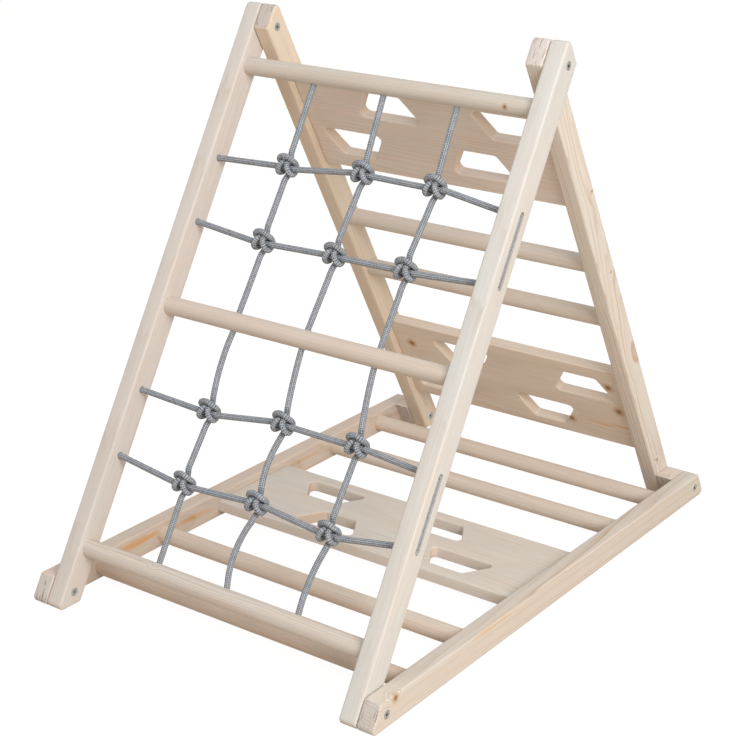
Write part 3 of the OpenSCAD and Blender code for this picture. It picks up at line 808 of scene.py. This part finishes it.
board("back_board_bottom", BACK_IN, BACK_PLANE @ Matrix.Translation((0, LOW_BOARD_AT * MM, 0)),
      BACK_BOARD, (157, -582), 71, LOW_BOARD_SHIFT, tint=(252, 247, 239),
      knots=((-207.6, 360.4, 220.1, 6.6), (215.1, 355.4, 228.8, 6.6), (223.8, 386, 175.7, 7.2),
             (115.2, 413.1, 128.9, 6.2), (7.5, 401.9, 148.2, 1.6)),
      streaks=((226, 409, 139, 4, 8, 0.9), (174, 410, 134, 3.5, 9, 0.6)))
# The top board is turned round in its plane, and the base board is turned over
board("back_board_top", BACK_IN,
      BACK_PLANE @ Matrix.Translation((0, (TOP_BOARD_AT + BOARD_W) * MM, 0))
      @ Matrix.Rotation(math.pi, 4, "Z"), BACK_BOARD, (-441, -582), 72, -TOP_BOARD_SHIFT,
      tint=(255, 251, 248))
board("base_board", BASE_IN,
      BASE_PLANE @ Matrix.Translation((0, (BASE_BOARD_AT + BOARD_W) * MM, 0))
      @ Matrix.Rotation(math.pi, 4, "X"), ALONG_X, (120, -130), 73, tint=(245, 247, 247))


# ---- Ropes ----
# The route of a column through a knot, in knot units round the middle of the row: to the
# right, up the net and out to the front
KNOT = np.array([
    (-0.25, 3.1, -0.4), (-0.38, 2.15, -0.9), (-0.62, 1.12, -1.4), (-0.9, 0.1, -1.22),
    (-1.1, -0.65, -0.88), (-1.22, -1.05, 0), (-1.12, -0.75, 0.82), (-0.82, 0, 1.08),
    (-0.52, 0.6, 0.9), (-0.47, 1.05, 0.3), (-0.62, 1.15, -0.2), (-1.02, 1.1, -0.36),
    (-1.42, 1.05, -0.15), (-1.6, 1.08, 0.4), (-1.42, 1.35, 0.95), (-0.98, 1.6, 1.28),
    (-0.28, 1.74, 1.45), (0.4, 1.7, 1.5), (1, 1.52, 1.38), (1.45, 1.3, 0.92),
    (1.65, 1.12, 0.12), (1.52, 0.68, -0.85), (1.36, -0.3, -1.12), (1.5, -0.95, -0.6),
    (1.58, -1.12, 0.2), (1.3, -0.82, 0.88), (0.88, -0.2, 1.1), (0.58, 0.43, 0.98),
    (0.57, 0.98, 0.38), (0.43, 0.94, -0.5), (0.27, 0.05, -1.13), (0.18, -1.1, -0.95),
    (0.23, -2.35, -0.4)]) * KNOT_UNIT
# Share of the full squeeze at each of the knot's points
KNOT_PULL = np.array([0, 0.5, *[1] * (len(KNOT) - 4), 0.5, 0])
# How far each knot has crept to the right and up, for each row from the top
KNOT_CREEP = (((2, 5), (9, 16), (7, 15)), ((3, -11), (6, -8), (2, -7)),
              ((5, -5), (11, 9), (14, 8)), ((3, -13), (10, -7), (13, -16)))
# Where a knot squeezes the row inside it: the distance in knot units and the share
ROW_PULL = ((-2.6, 0), (-1.8, 1), (1.8, 1), (2.6, 0))
# Points on a free run of rope
RUN_POINTS = 4
# How far each column's free runs bow to the right, from the top, in shares of their length
BOW = ((0, 0, 0, -0.05, 0, 0), (0, 0, 0, -0.02, -0.08, -0.12), (0, 0, 0, -0.02, 0, -0.06))
# Where a row lies in its groove, a little deeper than the middle, and its bend into the rail
GROOVE_SINK = 0.2
GROOVE_X = FRONT_OUT - GROOVE_DEPTH / 2 - GROOVE_SINK
TURN_R = 6
# Steps of the smooth curve between two of its points, before it is walked evenly
FINE_STEPS = 24
ROPE_SIDES = 24
# How far the strands stand out
RELIEF = 0.22


def knot_at(row, c):
    """The middle of the row inside the knot, in the front frame's plane."""
    dx, ds = KNOT_CREEP[row][c]
    return np.array([column_x(c) + dx, ROPE_ROWS[row] + ds, 0.0])


def spline(points, step=1.0):
    """An even walk along the smooth curve through the points, in steps of about step mm.

    Each point's fourth number is carried along with its place.
    """
    p = np.asarray(points, float)
    ends = np.vstack([2 * p[0] - p[1], p, 2 * p[-1] - p[-2]])
    fine = []
    for a, b, c, d in zip(ends, ends[1:], ends[2:], ends[3:]):
        u = np.linspace(0, 1, FINE_STEPS, endpoint=False)[:, None]
        fine.append(0.5 * (2 * b + (c - a) * u + (2 * a - 5 * b + 4 * c - d) * u ** 2
                           + (3 * b - 3 * c + d - a) * u ** 3))
    fine = np.vstack(fine + [p[-1:]])
    steps = np.linalg.norm(np.diff(fine[:, :3], axis=0), axis=1)
    run = np.concatenate([[0], np.cumsum(steps)])
    at = np.linspace(0, run[-1], int(run[-1] / step) + 1)
    return np.column_stack([np.interp(at, run, fine[:, k]) for k in range(4)]), at


def free_run(a, b, bow):
    """The free rope between two points, bowed to the right by a share of its length."""
    side = np.linalg.norm(b - a) * np.array([bow, 0, 0])
    p, q = a + (b - a) / 3 + side, b - (b - a) / 3 + side
    t = (np.arange(1, RUN_POINTS + 1) / (RUN_POINTS + 1))[:, None]
    u = 1 - t
    return u ** 3 * a + 3 * u * u * t * p + 3 * u * t * t * q + t ** 3 * b


def column_points(c):
    """A column's route from the top rung through four knots and the middle rung to the bottom.

    The fourth number of a point is 1 where a knot squeezes the rope and 0 where it is free.
    """
    x, r, bow = column_x(c), RUNG_D / 2, BOW[c]
    start = np.array([x, FRONT_RUNGS["top"] - r, COLUMN_Z])
    over = np.array([x, FRONT_RUNGS["middle"] + r, COLUMN_Z])
    under = over - [0, 2 * r, 0]
    end = np.array([x + LOW_HOLE_SHIFT, FRONT_RUNGS["bottom"] + r, COLUMN_Z])
    k = [KNOT + knot_at(row, c) for row in range(4)]
    places = np.vstack([
        start + [0, COLUMN_REACH, 0], start, free_run(start, k[0][0], bow[0]), k[0],
        free_run(k[0][-1], k[1][0], bow[1]), k[1], free_run(k[1][-1], over, bow[2]), over, under,
        free_run(under, k[2][0], bow[3]), k[2], free_run(k[2][-1], k[3][0], bow[4]), k[3],
        free_run(k[3][-1], end, bow[5]), end, end - [0, COLUMN_REACH, 0]])
    run, end_run = np.zeros(RUN_POINTS), np.zeros(2 + RUN_POINTS)
    rung_run = np.zeros(2 + 2 * RUN_POINTS)
    pull = np.concatenate([end_run, KNOT_PULL, run, KNOT_PULL, rung_run, KNOT_PULL, run,
                           KNOT_PULL, end_run])
    return np.column_stack([places, pull])


def row_end(row, side):
    """The end of a row, from the groove that it shares with another row into the rail."""
    pair = row + 1 if row % 2 == 0 else row - 1
    s = ROPE_ROWS[row]
    toward = math.copysign(1, ROPE_ROWS[pair] - s)
    half = (s + ROPE_ROWS[pair]) / 2
    turn = [(side * (GROOVE_X - TURN_R * (1 - math.cos(a))),
             s + toward * TURN_R * (1 - math.sin(a)), 0, 0) for a in np.radians([0, 30, 60, 90])]
    return [(side * GROOVE_X, half - toward * GROOVE_END_GAP / 2, 0, 0), *turn,
            (side * FRONT_IN, s, 0, 0)]


def row_points(row):
    """A row's route from the left groove through its three knots to the right one, likewise."""
    middle = [(*(knot_at(row, c) + [e * KNOT_UNIT, 0, 0]), pull) for c in range(3)
              for e, pull in ROW_PULL]
    return np.vstack([row_end(row, -1), middle, row_end(row, 1)[::-1]])


def spokes(along, first):
    """A direction across the path at each of its points, which turns with it without a twist."""
    made = np.empty_like(along)
    n = np.array(first, float)
    for i, t in enumerate(along):
        n = unit(n - (n @ t) * t)
        made[i] = n
    return made


def tube(name, verts, rings, lay):
    """The mesh round a path of so many rings, with lay as its UV map's place along the braid."""
    sides = ROPE_SIDES
    faces = [(i * sides + k, (i + 1) * sides + k, (i + 1) * sides + (k + 1) % sides,
              i * sides + (k + 1) % sides) for i in range(rings - 1) for k in range(sides)]
    ends = [tuple(range(sides)), tuple((rings - 1) * sides + k for k in reversed(range(sides)))]
    mesh = bpy.data.meshes.new(name)
    mesh.from_pydata(verts.tolist(), [], faces + ends)
    values = []
    for a, b in zip(lay, lay[1:]):
        for k in range(sides):
            lo, hi = k / sides, (k + 1) / sides
            values += [lo, a, lo, b, hi, b, hi, a]
    values += [0.0, 0.0] * (2 * sides)
    mesh.uv_layers.new(name="braid").data.foreach_set("uv", values)
    mesh.polygons.foreach_set("use_smooth", [True] * len(mesh.polygons))
    return mesh


def rope(node, points, first, material):
    """A rope along the points, with a braid that stands out a little.

    first is the direction from the rope's middle in which its UV map starts.
    """
    name = node + "_braid"
    walk, run = spline(points)
    path, pull = walk[:, :3], np.clip(walk[:, 3:], 0, 1)
    along = np.gradient(path, axis=0)
    along /= np.linalg.norm(along, axis=1)[:, None]
    spoke = spokes(along, first)
    other = np.cross(along, spoke)
    u = np.arange(ROPE_SIDES) / ROPE_SIDES
    angle = 2 * math.pi * u
    lay = run - BRAID_OPENS * np.concatenate([[0], np.cumsum(pull[1:, 0] * np.diff(run))])
    a = BRAID_TURN * (u[None, :] + lay[:, None] / LAY_PITCH)
    b = BRAID_TURN * (u[None, :] - lay[:, None] / LAY_PITCH)
    r = ROPE_D / 2 * (1 - KNOT_SQUEEZE * pull) + RELIEF * np.cos(a) * np.cos(b)
    ring = (np.cos(angle)[None, :, None] * spoke[:, None, :]
            + np.sin(angle)[None, :, None] * other[:, None, :])
    verts = (path[:, None, :] + r[..., None] * ring).reshape(-1, 3)
    mesh = tube(name, verts * MM, len(path), lay)
    mesh.transform(FRONT_PLANE)
    ob = link(bpy.data.objects.new(name, mesh))
    stand_in(ob, node, material)


cordage = braided()
for row in range(4):
    rope(f"rope_row_{row + 1}", row_points(row), (0, 0, 1), cordage)
for c, word in enumerate(("left", "centre", "right")):
    rope(f"rope_column_{word}", column_points(c), (1, 0, 0), cordage)

# ---- Screws ----
metal = zinc()
for node, ob in frame["nodes"].items():
    if "screws" in node or "sleeves" in node:
        dress(ob, metal)

# ---- Stage, light and camera ----
# Fitted to the photo: metres, degrees, and pixels for the focal length, centre and image
CAMERA = dict(place=(1.57888, -2.28272, 1.34958), yaw=36.1199, pitch=-18.5287, roll=0.5129,
              focal=1778.23, centre=(351.81, 312.05), image=736, sensor=36, clip=(0.05, 60))
# Light from all round, as a share of the white that the camera sees
AMBIENT = 0.5
# The floor's half width and how far it lies below the feet are in metres
FLOOR = dict(colour=rgb(210, 194, 175), half=12, drop=0.0005, glow=1.19, glow_share=0.8)
LAMPS = {"key": dict(place=(3.5, -1.85, 2.3), size=2.3, power=124),
         "top": dict(place=(-0.3, -1.4, 3.5), size=2.6, power=22)}
LAMP_TARGET = (0, 0, 0.4)


def make_camera():
    """The photo's camera, with its optical centre a little off the image's middle."""
    data = bpy.data.cameras.new("camera")
    ob = link(bpy.data.objects.new("camera", data))
    yaw, pitch, roll = (math.radians(CAMERA[k]) for k in ("yaw", "pitch", "roll"))
    look = Vector((-math.sin(yaw) * math.cos(pitch), math.cos(yaw) * math.cos(pitch),
                   math.sin(pitch)))
    right = Vector((math.cos(yaw), math.sin(yaw), 0))
    up = right.cross(look)
    right, up = (right * math.cos(roll) + up * math.sin(roll),
                 up * math.cos(roll) - right * math.sin(roll))
    turn = Matrix((right, up, -look)).transposed().to_4x4()
    ob.matrix_world = Matrix.Translation(CAMERA["place"]) @ turn
    data.sensor_width = CAMERA["sensor"]
    data.lens = CAMERA["focal"] / CAMERA["image"] * CAMERA["sensor"]
    half = CAMERA["image"] / 2
    data.shift_x = (half - CAMERA["centre"][0]) / CAMERA["image"]
    data.shift_y = (CAMERA["centre"][1] - half) / CAMERA["image"]
    data.clip_start, data.clip_end = CAMERA["clip"]
    bpy.context.scene.camera = ob


def seen_directly(tree):
    """1 for camera, mirror and glass rays, 0 for light that falls on the object."""
    path = tree.nodes.new("ShaderNodeLightPath")
    total = path.outputs["Is Camera Ray"]
    for key in ("Is Glossy Ray", "Is Transmission Ray"):
        add = tree.nodes.new("ShaderNodeMath")
        add.operation, add.use_clamp = "ADD", True
        tree.links.new(total, add.inputs[0])
        tree.links.new(path.outputs[key], add.inputs[1])
        total = add.outputs[0]
    return total


def make_world():
    """White to the camera, and a softer light on the object."""
    world = bpy.data.worlds.new("studio")
    bpy.context.scene.world = world
    world.use_nodes = True
    tree = world.node_tree
    back = tree.nodes["Background"]
    back.inputs["Color"].default_value = (1, 1, 1, 1)
    level = tree.nodes.new("ShaderNodeMapRange")
    level.inputs["To Min"].default_value = AMBIENT
    level.inputs["To Max"].default_value = 1.0
    tree.links.new(seen_directly(tree), level.inputs["Value"])
    tree.links.new(level.outputs[0], back.inputs["Strength"])


def make_floor():
    """A wide floor, nearly white to the camera, that gives a warm light back to the wood."""
    bm = bmesh.new()
    bmesh.ops.create_grid(bm, x_segments=1, y_segments=1, size=FLOOR["half"])
    ob = solid(bm, "floor", Matrix())
    ob.location.z = -FLOOR["drop"]
    n = Nodes("studio_floor")
    n.surface({"Base Color": FLOOR["colour"], "Roughness": 0.9, "Specular IOR Level": 0.0})
    glow = n.new("ShaderNodeEmission", (1, 1, 1, 1), FLOOR["glow"])
    share = n.math("MULTIPLY", seen_directly(n.tree), FLOOR["glow_share"])
    mix = n.new("ShaderNodeMixShader", share, n.shader.outputs[0], glow.outputs[0])
    n.put(mix.outputs[0], n.out.inputs["Surface"])
    dress(ob, n.mat)


def lamp(name, place, size, power):
    """A square soft light that looks at the middle of the triangle."""
    data = bpy.data.lights.new(name, "AREA")
    data.shape, data.size, data.energy = "SQUARE", size, power
    ob = link(bpy.data.objects.new(name, data))
    ob.location = place
    ob.rotation_mode = "QUATERNION"
    ob.rotation_quaternion = (Vector(place) - Vector(LAMP_TARGET)).to_track_quat("Z", "Y")


bpy.context.scene.view_settings.view_transform = "Standard"
make_camera()
make_world()
make_floor()
for name, settings in LAMPS.items():
    lamp(name, **settings)
